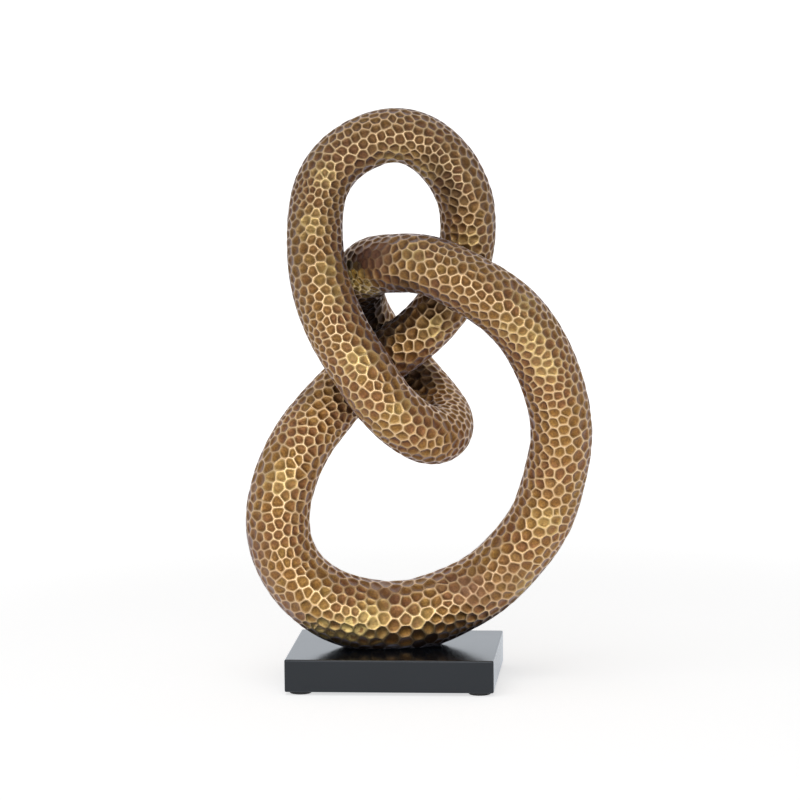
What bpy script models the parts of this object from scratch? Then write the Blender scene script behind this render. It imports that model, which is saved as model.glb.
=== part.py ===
# Knot sculpture: one closed tube of cast resin, tied in a three-crossing knot,
# that stands on a black block with four small feet. Metres, +Z up, front towards -Y.
# Two screws come up through the block into brass inserts in the flat under the knot.

import bpy
import bmesh
import numpy as np
from math import cos, pi, radians, sin
from mathutils import Matrix, Vector

MM = 0.001

# Clearance between two pieces that touch on the real object
TOUCH_GAP = 0.3 * MM

# The four feet
FOOT_RADIUS = 7.0 * MM
FOOT_HEIGHT = 1.5 * MM
FOOT_INSET = 2.0 * MM
FOOT_ROUNDING = 0.5 * MM

# The block
BASE_WIDTH = 127.0 * MM
BASE_DEPTH = 100.0 * MM
BASE_HEIGHT = 20.0 * MM
BASE_ROUNDING = 1.0 * MM

# How far the block's centre lies left of, and in front of, the middle of the whole
# object's box
BASE_LEFT_OF_MIDDLE = 16.0 * MM
BASE_AHEAD_OF_MIDDLE = 7.0 * MM

# The tube: its radius round the upper loop and on the seat, where it is thickest
LOOP_RADIUS = 16.5 * MM
SEAT_RADIUS = 22.5 * MM
SEAT_CUT = 5.0 * MM
STRAND_GAP = 0.6 * MM
CROSSING_GIRTH = 0.25

# The hammered pits in the tube, in staggered rows. The real ones are nearer together.
PITS_ROUND = 12
PIT_SPACING = 9.8 * MM
PIT_DEPTH = 1.0 * MM
PIT_DEPTH_SPREAD = 0.2 * MM
PIT_SCATTER = 0.7 * MM

# The route is drawn on squared paper, and GRID_SQUARE is one square
GRID_SQUARE = 10.0 * MM

# Fixings
SCREW_SPACING = 36.0 * MM
SCREW_RADIUS = 2.5 * MM
SCREW_LENGTH = 28.0 * MM
HEAD_RADIUS = 4.7 * MM
HEAD_HEIGHT = 3.2 * MM
HEX_RADIUS = 1.8 * MM
HEX_DEPTH = 2.0 * MM
WASHER_RADIUS = 6.0 * MM
WASHER_THICKNESS = 1.2 * MM
COUNTERBORE_DEPTH = 7.0 * MM
INSERT_WALL = 1.7 * MM
INSERT_LENGTH = 12.0 * MM
INSERT_RIB = 0.3 * MM
INSERT_RIB_COUNT = 3
HOLE_SPARE = 3.0 * MM

# Facets
CURVE_STEPS = 600
ROUND_SIDES = 24
SAMPLES_PER_SPAN = 40

# The knot's centre line, once round from the seat: left side of the big ring, behind
# the front strand, up the middle strand, round the upper loop, down the front strand,
# round the curl at the lower right, up behind, and round the big ring's top and right.
# Columns: squares to the right of the block's centre, squares above the lowest point,
# strand widths towards the back, and girth from 0 (upper loop) to 1 (seat).
ROUTE = [
    (-0.5, 0.0, -0.05, 1.00),
    (-3.6, 0.8, -0.24, 0.90),
    (-6.0, 2.8, -0.33, 0.58),
    (-7.0, 5.3, -0.33, 0.54),
    (-6.8, 8.0, -0.26, 0.52),
    (-5.7, 10.7, -0.09, 0.45),
    (-4.3, 12.6, 0.14, 0.38),
    (-2.6, 14.4, 0.31, 0.22),
    (-0.8, 15.8, 0.33, 0.10),
    (1.2, 17.2, 0.27, 0.04),
    (2.8, 18.8, 0.28, 0.04),
    (3.9, 20.6, 0.31, 0.08),
    (4.5, 22.7, 0.27, 0.10),
    (4.6, 24.9, 0.18, 0.11),
    (4.1, 26.7, 0.11, 0.12),
    (2.7, 28.6, 0.05, 0.12),
    (0.4, 29.6, 0.00, 0.04),
    (-2.4, 28.7, -0.10, 0.04),
    (-4.0, 26.9, -0.22, 0.03),
    (-4.5, 24.6, -0.36, 0.08),
    (-4.4, 22.0, -0.50, 0.20),
    (-3.9, 19.9, -0.59, 0.32),
    (-3.0, 17.8, -0.65, 0.37),
    (-1.8, 15.8, -0.66, 0.36),
    (-0.5, 13.8, -0.63, 0.30),
    (0.9, 12.3, -0.51, 0.26),
    (2.2, 11.4, -0.24, 0.23),
    (3.0, 11.4, 0.18, 0.19),
    (2.9, 12.1, 0.66, 0.16),
    (1.7, 13.4, 1.07, 0.15),
    (0.3, 14.9, 1.26, 0.15),
    (-1.0, 16.3, 1.28, 0.14),
    (-2.0, 17.9, 1.16, 0.14),
    (-2.4, 19.9, 0.70, 0.18),
    (-1.4, 21.5, 0.15, 0.22),
    (0.1, 21.9, -0.27, 0.25),
    (2.3, 21.9, -0.58, 0.28),
    (4.5, 21.0, -0.69, 0.34),
    (6.7, 19.6, -0.64, 0.44),
    (8.4, 17.7, -0.50, 0.45),
    (9.7, 14.9, -0.32, 0.44),
    (10.3, 11.6, -0.11, 0.42),
    (9.9, 8.9, 0.05, 0.48),
    (9.0, 6.1, 0.16, 0.52),
    (7.5, 3.9, 0.22, 0.55),
    (5.7, 2.1, 0.24, 0.66),
    (3.8, 1.0, 0.18, 0.80),
    (1.7, 0.2, 0.07, 0.94),
]

# Levels, from the floor up
BASE_BOTTOM = FOOT_HEIGHT + TOUCH_GAP
BASE_TOP = BASE_BOTTOM + BASE_HEIGHT
SEAT_LEVEL = BASE_TOP + TOUCH_GAP
LOWEST_CENTRE = SEAT_LEVEL + SEAT_RADIUS - SEAT_CUT
COUNTERBORE_TOP = BASE_BOTTOM + COUNTERBORE_DEPTH
WASHER_BOTTOM = COUNTERBORE_TOP - TOUCH_GAP - WASHER_THICKNESS
HEAD_TOP = WASHER_BOTTOM - TOUCH_GAP
INSERT_BOTTOM = SEAT_LEVEL + TOUCH_GAP
INSERT_BORE = SCREW_RADIUS + TOUCH_GAP
INSERT_RADIUS = INSERT_BORE + INSERT_WALL
INSERT_HOLE_RADIUS = INSERT_RADIUS + INSERT_RIB + TOUCH_GAP
INSERT_HOLE_TOP = max(INSERT_BOTTOM + INSERT_LENGTH, HEAD_TOP + SCREW_LENGTH) + HOLE_SPARE


def girth_radius(girth):
    """The tube's radius for a girth between 0 and 1."""
    return LOOP_RADIUS + girth * (SEAT_RADIUS - LOOP_RADIUS)


def route_points():
    """The route in metres from the block's centre, with the tube's radius."""
    strand_width = 2 * girth_radius(CROSSING_GIRTH) + STRAND_GAP
    rows = []
    for across, up, depth, girth in ROUTE:
        x = across * GRID_SQUARE
        y = depth * strand_width
        z = LOWEST_CENTRE + up * GRID_SQUARE
        rows.append((x, y, z, girth_radius(girth)))
    return np.array(rows)


def closed_spline(points, samples):
    """Dense samples of the smooth closed curve through the points."""
    after = np.roll(points, -1, axis=0)
    step = np.sqrt(np.linalg.norm((after - points)[:, :3], axis=1))
    before = np.roll(step, 1)
    slope = (after - points) / step[:, None] ** 2
    count = len(points)
    matrix = np.zeros((count, count))
    for i in range(count):
        matrix[i, i - 1] = 1 / before[i]
        matrix[i, i] = 2 / before[i] + 2 / step[i]
        matrix[i, (i + 1) % count] = 1 / step[i]
    tangents = np.linalg.solve(matrix, 3 * (slope + np.roll(slope, 1, axis=0)))
    t = np.linspace(0, 1, samples, endpoint=False)[:, None]
    spans = []
    for i in range(count):
        start, end = points[i], after[i]
        out, into = tangents[i] * step[i], tangents[(i + 1) % count] * step[i]
        spans.append(
            (1 + 2 * t) * (1 - t) ** 2 * start
            + t * (1 - t) ** 2 * out
            + t ** 2 * (3 - 2 * t) * end
            + t ** 2 * (t - 1) * into
        )
    return np.concatenate(spans)


def ring_frames(centres):
    """Two directions across the curve at each ring, carried along without twisting."""
    tangents = np.roll(centres, -1, axis=0) - np.roll(centres, 1, axis=0)
    tangents /= np.linalg.norm(tangents, axis=1)[:, None]
    normal = np.array([0.0, -1.0, 0.0])
    normals = []
    for tangent in np.vstack([tangents, tangents[:1]]):
        normal = normal - tangent * (normal @ tangent)
        normal /= np.linalg.norm(normal)
        normals.append(normal)
    last, first = normals.pop(), normals[0]
    sideways = np.cross(tangents[0], first)
    twist = np.arctan2(last @ sideways, last @ first)
    turns = -twist * np.arange(len(centres)) / len(centres)
    normals = np.array(normals)
    binormals = np.cross(tangents, normals)
    c, s = np.cos(turns)[:, None], np.sin(turns)[:, None]
    return c * normals + s * binormals, c * binormals - s * normals


class Tube:
    """The tube's surface, addressed by angle round it and distance along the curve."""

    def __init__(self, dense):
        closed = np.vstack([dense, dense[:1]])
        lengths = np.linalg.norm(np.diff(closed[:, :3], axis=0), axis=1)
        travelled = np.concatenate([[0], np.cumsum(lengths)])
        self.length = travelled[-1]
        places = np.linspace(0, self.length, CURVE_STEPS, endpoint=False)
        columns = [np.interp(places, travelled, closed[:, k]) for k in range(4)]
        rings = np.stack(columns, axis=1)
        across, along = ring_frames(rings[:, :3])
        self.table = np.hstack([rings, across, along])

    def point(self, angle, place, depth):
        """The point at a depth below the surface."""
        ring, part = divmod(place / self.length * CURVE_STEPS, 1)
        here, ahead = int(ring) % CURVE_STEPS, (int(ring) + 1) % CURVE_STEPS
        row = self.table[here] * (1 - part) + self.table[ahead] * part
        outward = cos(angle) * row[4:7] + sin(angle) * row[7:10]
        return row[:3] + (row[3] - depth) * outward


def new_object(name, mesh, material):
    """An object on the block's centre that carries the mesh."""
    thing = bpy.data.objects.new(name, mesh)
    bpy.context.scene.collection.objects.link(thing)
    thing.parent = centre
    if material:
        mesh.materials.append(material)
    return thing


def mesh_from(form, name, smooth_angle=None):
    """A mesh from a bmesh, its faces pointing out and shaded smooth up to the angle."""
    bmesh.ops.recalc_face_normals(form, faces=form.faces)
    mesh = bpy.data.meshes.new(name)
    form.to_mesh(mesh)
    form.free()
    if smooth_angle:
        mesh.shade_smooth()
        mesh.set_sharp_from_angle(angle=smooth_angle)
    return mesh


def make_material(name, colour, roughness, metallic):
    """A plain Principled material."""
    material = bpy.data.materials.new(name)
    material.use_nodes = True
    shader = material.node_tree.nodes["Principled BSDF"]
    shader.inputs["Base Color"].default_value = (*colour, 1.0)
    shader.inputs["Roughness"].default_value = roughness
    shader.inputs["Metallic"].default_value = metallic
    return material


def turned(name, profile, material):
    """A round piece whose (radius, height) profile runs from axis to axis, or loops."""
    form = bmesh.new()
    looped = profile[0][0] > 0
    corners = [form.verts.new((radius, 0, height)) for radius, height in profile]
    pairs = list(zip(corners, corners[1:]))
    if looped:
        pairs.append((corners[-1], corners[0]))
    edges = [form.edges.new(pair) for pair in pairs]
    bmesh.ops.spin(form, geom=corners + edges, cent=(0, 0, 0), axis=(0, 0, 1),
                   angle=2 * pi, steps=ROUND_SIDES, use_merge=True)
    bmesh.ops.remove_doubles(form, verts=form.verts, dist=1e-7)
    return new_object(name, mesh_from(form, name, radians(35)), material)


def prism_cutter(name, radius, bottom, top, sides, place):
    """A hidden upright prism that cuts a hole."""
    form = bmesh.new()
    middle = Matrix.Translation((0, 0, (bottom + top) / 2))
    bmesh.ops.create_cone(form, cap_ends=True, segments=sides, radius1=radius,
                          radius2=radius, depth=top - bottom, matrix=middle)
    cutter = new_object(name, mesh_from(form, name), None)
    cutter.location = (*place, 0)
    cutter.hide_render = True
    cutter.display_type = "WIRE"
    return cutter


def cut(thing, cutter):
    """A Boolean that takes the cutter out of the thing."""
    modifier = thing.modifiers.new(cutter.name, "BOOLEAN")
    modifier.operation = "DIFFERENCE"
    modifier.solver = "EXACT"
    modifier.object = cutter


def pit_centres(tube, rows):
    """Angle and distance along of each pit's centre: staggered rows, a little scattered."""
    scatter = np.random.default_rng(7)
    row, column = np.mgrid[:rows, :PITS_ROUND]
    angle = (column + row % 2 / 2) * 2 * pi / PITS_ROUND
    place = row * tube.length / rows
    angle = angle + scatter.uniform(-1, 1, angle.shape) * PIT_SCATTER / SEAT_RADIUS
    place = place + scatter.uniform(-1, 1, place.shape) * PIT_SCATTER
    return angle, place


def make_knot(dense, material):
    """The tube, hammered all over and cut flat where it stands on the block."""
    tube = Tube(dense)
    rows = 2 * round(tube.length / (PIT_SPACING * sin(radians(60))) / 2)
    angle, place = pit_centres(tube, rows)
    depths = np.random.default_rng(8).uniform(-1, 1, angle.shape) * PIT_DEPTH_SPREAD + PIT_DEPTH
    form = bmesh.new()

    def centre_of(row, column):
        laps, row = divmod(row, rows)
        turns, column = divmod(column, PITS_ROUND)
        return np.array([angle[row, column] + turns * 2 * pi,
                         place[row, column] + laps * tube.length])

    def ridge_corner(row, column, step):
        """The point among two pits of a row and the one between them in a row beside it."""
        among = [centre_of(row, column), centre_of(row, column + 1),
                 centre_of(row + step, column + row % 2)]
        return form.verts.new(tube.point(*(sum(among) / 3), 0))

    grid = [(row, column) for row in range(rows) for column in range(PITS_ROUND)]
    above = {spot: ridge_corner(*spot, 1) for spot in grid}
    below = {spot: ridge_corner(*spot, -1) for spot in grid}
    for row, column in grid:
        floor = form.verts.new(tube.point(angle[row, column], place[row, column],
                                          depths[row, column]))
        left = (column - 1) % PITS_ROUND
        over = (column + row % 2 - 1) % PITS_ROUND
        ring = [above[row, column], below[(row + 1) % rows, over], above[row, left],
                below[row, left], above[(row - 1) % rows, over], below[row, column]]
        for one, two in zip(ring, ring[1:] + ring[:1]):
            form.faces.new((floor, one, two))
    everything = form.verts[:] + form.edges[:] + form.faces[:]
    sliced = bmesh.ops.bisect_plane(form, geom=everything, dist=1e-6, clear_inner=True,
                                    plane_co=(0, 0, SEAT_LEVEL), plane_no=(0, 0, 1))
    rim = [edge for edge in sliced["geom_cut"] if isinstance(edge, bmesh.types.BMEdge)]
    bmesh.ops.contextual_create(form, geom=rim)
    return new_object("knot", mesh_from(form, "knot", radians(20)), material)


def make_base(material):
    """The block, with all its edges rounded."""
    form = bmesh.new()
    bmesh.ops.create_cube(form, size=1)
    size = Matrix.Diagonal((BASE_WIDTH, BASE_DEPTH, BASE_HEIGHT, 1))
    bmesh.ops.transform(form, matrix=size, verts=form.verts)
    bmesh.ops.bevel(form, geom=form.edges[:], offset=BASE_ROUNDING, segments=3,
                    profile=0.5, affect="EDGES")
    lift = Vector((0, 0, BASE_BOTTOM + BASE_HEIGHT / 2))
    bmesh.ops.translate(form, vec=lift, verts=form.verts)
    return new_object("base_block", mesh_from(form, "base_block", radians(40)), material)


def make_foot(name, side, end, material):
    """A round foot under one corner; side and end are -1 or 1."""
    profile = [
        (0, 0),
        (FOOT_RADIUS - FOOT_ROUNDING, 0),
        (FOOT_RADIUS, FOOT_ROUNDING),
        (FOOT_RADIUS, FOOT_HEIGHT),
        (0, FOOT_HEIGHT),
    ]
    foot = turned(name, profile, material)
    inset = FOOT_INSET + FOOT_RADIUS
    foot.location = (side * (BASE_WIDTH / 2 - inset), end * (BASE_DEPTH / 2 - inset), 0)


def make_screw(name, place, material):
    """A cap screw with a hexagon socket, head down."""
    tip = HEAD_TOP + SCREW_LENGTH
    chamfer = SCREW_RADIUS / 4
    profile = [
        (0, HEAD_TOP - HEAD_HEIGHT),
        (HEAD_RADIUS - chamfer, HEAD_TOP - HEAD_HEIGHT),
        (HEAD_RADIUS, HEAD_TOP - HEAD_HEIGHT + chamfer),
        (HEAD_RADIUS, HEAD_TOP),
        (SCREW_RADIUS, HEAD_TOP),
        (SCREW_RADIUS, tip - chamfer),
        (SCREW_RADIUS - chamfer, tip),
        (0, tip),
    ]
    screw = turned(name, profile, material)
    screw.location = (*place, 0)
    below = HEAD_TOP - HEAD_HEIGHT - HOLE_SPARE
    roof = HEAD_TOP - HEAD_HEIGHT + HEX_DEPTH
    cut(screw, prism_cutter(name + "_socket", HEX_RADIUS, below, roof, 6, place))


def make_washer(name, place, material):
    """A flat washer under the screw's head."""
    hole = SCREW_RADIUS + TOUCH_GAP
    top = WASHER_BOTTOM + WASHER_THICKNESS
    profile = [
        (hole, WASHER_BOTTOM),
        (WASHER_RADIUS, WASHER_BOTTOM),
        (WASHER_RADIUS, top),
        (hole, top),
    ]
    turned(name, profile, material).location = (*place, 0)


def make_insert(name, place, material):
    """A brass bush with ribs that grip the resin."""
    top = INSERT_BOTTOM + INSERT_LENGTH
    profile = [(INSERT_BORE, INSERT_BOTTOM), (INSERT_RADIUS, INSERT_BOTTOM)]
    rib_pitch = INSERT_LENGTH / INSERT_RIB_COUNT
    for rib in range(INSERT_RIB_COUNT):
        middle = INSERT_BOTTOM + rib * rib_pitch + rib_pitch / 2
        profile.append((INSERT_RADIUS, middle - rib_pitch / 4))
        profile.append((INSERT_RADIUS + INSERT_RIB, middle - rib_pitch / 8))
        profile.append((INSERT_RADIUS + INSERT_RIB, middle + rib_pitch / 8))
        profile.append((INSERT_RADIUS, middle + rib_pitch / 4))
    profile += [(INSERT_RADIUS, top), (INSERT_BORE, top)]
    turned(name, profile, material).location = (*place, 0)


def screw_places(dense):
    """Where the screws stand: on the tube's line, either side of its lowest point."""
    lowest = dense[0, :2]
    ahead = dense[SAMPLES_PER_SPAN // 2, :2]
    behind = dense[-SAMPLES_PER_SPAN // 2, :2]
    direction = (behind - ahead) / np.linalg.norm(behind - ahead)
    half = direction * SCREW_SPACING / 2
    return {"left": tuple(lowest - half), "right": tuple(lowest + half)}


for old in list(bpy.data.objects):
    bpy.data.objects.remove(old, do_unlink=True)

centre = bpy.data.objects.new("block_centre", None)
bpy.context.scene.collection.objects.link(centre)
centre.location = (-BASE_LEFT_OF_MIDDLE, -BASE_AHEAD_OF_MIDDLE, 0)

bronze = make_material("gilded_resin", (0.33, 0.20, 0.09), 0.45, 0.7)
black = make_material("black_lacquer", (0.02, 0.022, 0.026), 0.35, 0.0)
rubber = make_material("black_rubber", (0.015, 0.015, 0.015), 0.8, 0.0)
zinc = make_material("zinc_steel", (0.6, 0.6, 0.62), 0.35, 1.0)
brass = make_material("brass", (0.75, 0.55, 0.25), 0.35, 1.0)

centre_line = closed_spline(route_points(), SAMPLES_PER_SPAN)
knot = make_knot(centre_line, bronze)
base = make_base(black)

for side_name, side in (("left", -1), ("right", 1)):
    for end_name, end in (("front", -1), ("back", 1)):
        make_foot("foot_" + end_name + "_" + side_name, side, end, rubber)

for side_name, place in screw_places(centre_line).items():
    make_screw("screw_" + side_name, place, zinc)
    make_washer("washer_" + side_name, place, zinc)
    make_insert("insert_" + side_name, place, brass)
    below_base = BASE_BOTTOM - HOLE_SPARE
    above_base = BASE_TOP + HOLE_SPARE
    cut(base, prism_cutter("screw_hole_" + side_name, SCREW_RADIUS + TOUCH_GAP,
                           below_base, above_base, ROUND_SIDES, place))
    cut(base, prism_cutter("counterbore_" + side_name, WASHER_RADIUS + 2 * TOUCH_GAP,
                           below_base, COUNTERBORE_TOP, ROUND_SIDES, place))
    cut(knot, prism_cutter("insert_hole_" + side_name, INSERT_HOLE_RADIUS,
                           SEAT_LEVEL - HOLE_SPARE, INSERT_HOLE_TOP, ROUND_SIDES, place))
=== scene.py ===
# Looks of the knot sculpture: a hammered tube of gilded resin on a black lacquered block.
# Metres, +Z up, front towards -Y.

from math import cos, pi, radians, sin

import bpy
import numpy as np
from mathutils import Matrix, Vector
from mathutils.geometry import delaunay_2d_cdt


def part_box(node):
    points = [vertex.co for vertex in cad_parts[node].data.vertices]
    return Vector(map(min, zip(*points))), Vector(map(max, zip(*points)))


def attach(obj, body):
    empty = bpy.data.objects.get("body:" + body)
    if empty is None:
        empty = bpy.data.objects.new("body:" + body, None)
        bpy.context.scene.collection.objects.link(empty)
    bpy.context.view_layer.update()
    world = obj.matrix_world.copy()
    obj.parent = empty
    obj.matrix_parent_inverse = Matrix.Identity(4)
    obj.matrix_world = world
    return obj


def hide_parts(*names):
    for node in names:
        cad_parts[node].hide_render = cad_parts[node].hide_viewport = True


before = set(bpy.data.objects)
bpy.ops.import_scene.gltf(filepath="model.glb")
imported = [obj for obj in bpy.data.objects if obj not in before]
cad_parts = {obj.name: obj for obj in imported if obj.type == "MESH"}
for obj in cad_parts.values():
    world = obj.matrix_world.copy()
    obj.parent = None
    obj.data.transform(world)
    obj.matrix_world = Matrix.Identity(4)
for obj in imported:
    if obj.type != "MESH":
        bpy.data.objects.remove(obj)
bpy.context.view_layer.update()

MM = 0.001
TINY = 1e-12
RANDOM_SEED = 11
rng = np.random.default_rng(RANDOM_SEED)

# The block and the seat, from the frame
base_low, base_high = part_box("base_block")
block_middle = (base_low + base_high) / 2
seat_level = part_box("knot")[0].z

# The tube, with the sizes that its solid has
LOOP_RADIUS = 16.5 * MM
SEAT_RADIUS = 22.5 * MM
SEAT_CUT = 5.0 * MM
STRAND_GAP = 0.6 * MM
CROSSING_GIRTH = 0.25
GRID_SQUARE = 10.0 * MM
SAMPLES_PER_SPAN = 40
RING_COUNT = 1200

# How the cells are spread: their usual distance, how many times closer than that they lie
# on the thin loop and on the thick seat, and the samples and rounds in which they settle
CELL_PITCH = 6.6 * MM
CELLS_AT_LOOP = 1.12
CELLS_AT_SEAT = 0.90
SAMPLE_SPACING = 1.4 * MM
SLAB_ROWS = 12
NEIGHBOUR_REACH = 2 * CELL_PITCH
SETTLING_ROUNDS = 18

# A few small cells that are squeezed in at the end, in the widest twelfth of the gaps
SMALL_CELL_SHARE = 0.02
SMALL_CELL_SPACING = 2 * CELL_PITCH
GAP_PARTS = 12

# How neighbouring cells are found: lengths in millimetres, an angle in radians, and how
# many edges may be flipped for each cell
WRAP_MARGIN = 5 * CELL_PITCH / MM
MERGE_DISTANCE = 1e-5
SEAM_TOLERANCE = 0.01
ANGLE_TOLERANCE = 1e-6
FLIPS_PER_CELL = 20

# Where three ridges meet: mostly at the point that is as far from each of the three cells'
# centres, partly at the middle of the three, and with a least weight for each
EVEN_POINT_SHARE = 0.7
CENTROID_WEIGHT = 0.1
LEAST_WEIGHT = 0.04

# A cell's section, from the crest of its ridge down to the middle of its floor
CREST_DROP = 0.05 * MM
CREST_ROUGHNESS = 0.12 * MM
RIDGE_HALF_WIDTH = 0.31 * MM
RIDGE_UNEVENNESS = 0.25
RIM_DROP = 0.12 * MM
RIM_SHARPNESS = 6
WALL_WIDTH = 0.55 * MM
FLOOR_SHARPNESS = 4
FLOOR_DISH = 0.20 * MM
FLOOR_TILT = 0.05
CELL_DEPTH = 1.05 * MM
DEPTH_UNEVENNESS = 0.2
WORN_DEPTH_SHARE = 0.35

# An outline inside a cell keeps this share of its reach, and only sides that face a
# direction at least this much limit it there
LEAST_REACH = 0.3
LEAST_FACING = 1e-3

# The relief that the skin's material reads at each height of that section, and the tone
# of the crests, which lie between cells
CREST_LEVEL = 1.0
RIM_LEVEL = 0.8
FLOOR_LEVEL = 0.0
MIDDLE_LEVEL = -1.0
CREST_TONE = 0.5

# How near another strand starts to put painted shade on the tube, and how far along the curve the
# tube is still the same strand
CREVICE_REACH = 21 * MM
OWN_STRAND_REACH = 75 * MM

# The skin's map: strips of the tube side by side
STRIP_COUNT = 3
STRIP_MARGIN = 8 * MM

# What the skin carries for its material at each point
SKIN_ATTRIBUTES = ("relief", "tone", "upward", "strand_shade", "stain_and_shade", "worn", "gilt_and_highlight")

# The sockets of a mix node when it mixes colours: its factor, its two colours, its result
MIX_INPUTS = (0, 6, 7)
MIX_OUTPUT = 2

# The resin's colours, linear
FLOOR_BROWN = (0.32, 0.136, 0.022)
FLOOR_TAN = (0.43, 0.232, 0.044)
FLOOR_RED = (0.31, 0.122, 0.040)
FLOOR_GILT = (0.46, 0.29, 0.07)
# WALL_DARK darkens the cells' walls as patina and partly as painted shade, and flecks the floors
WALL_DARK = (0.060, 0.021, 0.006)
RIDGE_GOLD = (0.91, 0.665, 0.405)
RIDGE_DULL = (0.81, 0.54, 0.31)
RIDGE_SIDE = (0.47, 0.285, 0.115)
GILT_AND_HIGHLIGHT_GOLD = (0.82, 0.62, 0.23)
WORN_RED = (0.25, 0.120, 0.065)
WORN_DARK = (0.13, 0.055, 0.032)
# Near-black brown for painted shade
PAINTED_SHADE = (0.020, 0.010, 0.006)
RESIN_GLOSS = (0.75, 0.70, 0.72)
RESIN_VEIL = (0.80, 0.80, 1.0)

# The other materials' colours, linear: a pair for each, between which it varies
LACQUER = ((0.005, 0.007, 0.010), (0.008, 0.010, 0.014))
RUBBER = ((0.012, 0.012, 0.013), (0.028, 0.028, 0.030))
ZINC = ((0.62, 0.62, 0.64), (0.48, 0.48, 0.50))
BRASS = ((0.78, 0.57, 0.26), (0.60, 0.42, 0.18))
PAPER = ((0.80, 0.80, 0.80), (0.82, 0.82, 0.82))
LACQUER_GLOSS = (0.90, 0.95, 1.0)
LACQUER_COAT = (0.70, 0.84, 1.0)
WHITE = (1.0, 1.0, 1.0)

# Heights between which the painted shade on low downward faces fades out, and between which more
# and more shade is painted on higher up
UNDERSIDE_HEIGHTS = (70 * MM, 130 * MM)
ALOFT_HEIGHTS = (140 * MM, 350 * MM)

# The floor: its reach, the distances between which it turns into plain white, how bright
# the camera sees it near the object, and how bright mirrors see it near and far
FLOOR_REACH = 40.0
NEAR_FLOOR = 0.3
FAR_FLOOR = 1.2
FLOOR_GLOW = 0.63
NEAR_MIRROR = 0.85
FAR_MIRROR = 0.6

# The share of that last brightness which is left in front of the object and behind it
MIRROR_DEPTHS = (-80 * MM, 120 * MM)
FLOOR_FRONT_MIRROR = 0.87
FLOOR_REAR_MIRROR = 0.68

# The room: how bright mirrors see its front and sides, and its light on everything
FRONT_MIRROR = 0.75
SIDE_MIRROR = 0.50
ROOM_LIGHT = 0.25

# The lamps: place, width and height in metres, and power in watts
LAMP_AIM_HEIGHT = 0.17
LAMPS = {
    "key_light": ((0.1, -2.5, 0.475), (3.0, 0.78), 20.0),
    "top_light": ((-0.4, -0.6, 2.0), (1.6, 1.6), 8.2),
}

# The camera: angles in degrees, the rest in metres, with its aim from the block's top
CAMERA_AZIMUTH = 4.82
CAMERA_ELEVATION = 7.36
CAMERA_ROLL = -0.57
CAMERA_DISTANCE = 2.390
CAMERA_AIM = (0.0043, 0.0, 0.1521)
CAMERA_RANGE = (0.1, 20.0)

# The picture, in pixels, and the sensor that Blender takes it with, in millimetres
FOCAL_PIXELS = 3911
PHOTO_WIDTH = 800
SENSOR_WIDTH = 36

# Spots on the tube: millimetres to the right of the block's middle, behind it and above
# the seat, the reach of each spot, and its strength. SPOT_STEEPNESS is how soon a spot is
# at full strength, on the way in from its edge.
SPOT_STEEPNESS = 1.4

# Cells worn shallow, red-brown
WORN_SPOTS = [
    (-82, -26, 64, 17, 0.5),
    (-78, -22, 44, 18, 0.5),
    (-64, -24, 27, 17, 0.5),
    (-17, -20, 240, 14, 1.0),
    (-4, -23, 242, 14, 0.9),
    (-17, -33, 146, 14, 0.12),
    (71, -11, 46, 18, 0.4),
    (60, -12, 33, 14, 0.4),
    (47, -12, 37, 16, 0.8),
    (57, -11, 43, 13, 0.5),
    (33, -11, 41, 14, 0.4),
    (-3, -18, 35, 14, 0.4),
]

# Painted shade: cells painted almost black where shade falls in the knot's hollows and near the
# block
PAINTED_SHADE_SPOTS = [
    (-14, 14, 206, 26, 1.0),
    (4, 0, 203, 17, 0.75),
    (-5, 0, 193, 11, 0.8),
    (27, -15, 300, 10, 0.4),
    (32, -14, 290, 10, 0.5),
    (37, -13, 281, 10, 0.6),
    (39, -11, 272, 10, 0.5),
    (-6, -20, 3, 12, 0.6),
    (20, -16, 4, 13, 0.9),
    (34, -15, 10, 9, 0.5),
    (42, -13, 17, 9, 0.5),
    (25, -7, 207, 14, 0.75),
    (17, 26, 163, 17, 0.85),
    (-11, 26, 196, 14, 0.8),
    (-54, -4, 156, 14, 0.35),
    (10, -29, 224, 13, 0.5),
    (30, -7, 202, 13, 0.5),
    (17, -7, 197, 12, 0.4),
]

# Places where no painted shade is put, although another strand is near
UNSHADED_SPOTS = [
    (44, -9, 256, 24, 0.9),
    (5, -7, 182, 16, 0.95),
    (-34, -32, 235, 15, 0.7),
    (-22, -20, 223, 10, 0.9),
]

# Cells that gold tints or fills, partly real gilt and partly a painted highlight where the
# light's yellow glint falls
GILT_AND_HIGHLIGHT_SPOTS = [
    (-19, -12, 225, 16, 1.0),
    (-10, -6, 222, 14, 1.0),
    (-38, -25, 291, 11, 0.4),
    (-46, -33, 263, 12, 0.45),
    (-30, -42, 221, 11, 0.4),
    (-17, -41, 181, 14, 0.5),
    (7, -39, 151, 11, 0.4),
    (17, -33, 243, 10, 0.35),
    (27, -7, 195, 11, 0.5),
    (83, -37, 215, 10, 0.35),
    (95, -33, 176, 13, 0.45),
    (94, -14, 79, 12, 0.5),
    (-14, -23, 19, 18, 0.7),
    (-45, -24, 33, 12, 0.5),
    (-66, -28, 106, 14, 0.5),
    (-25, -26, 15, 16, 0.8),
    (-42, -25, 15, 14, 0.8),
    (-22, -20, 223, 8, 0.7),
    (2, -12, 300, 12, 0.4),
    (20, -9, 292, 11, 0.3),
    (-35, -33, 235, 12, 0.35),
    (-19, -35, 150, 13, 0.3),
    (-7, -33, 136, 12, 0.25),
    (16, -20, 19, 11, 0.5),
    (87, -37, 192, 14, 0.5),
    (76, -39, 200, 12, 0.35),
    (81, -3, 38, 13, 0.4),
    (47, -9, 249, 12, 0.4),
]

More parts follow.
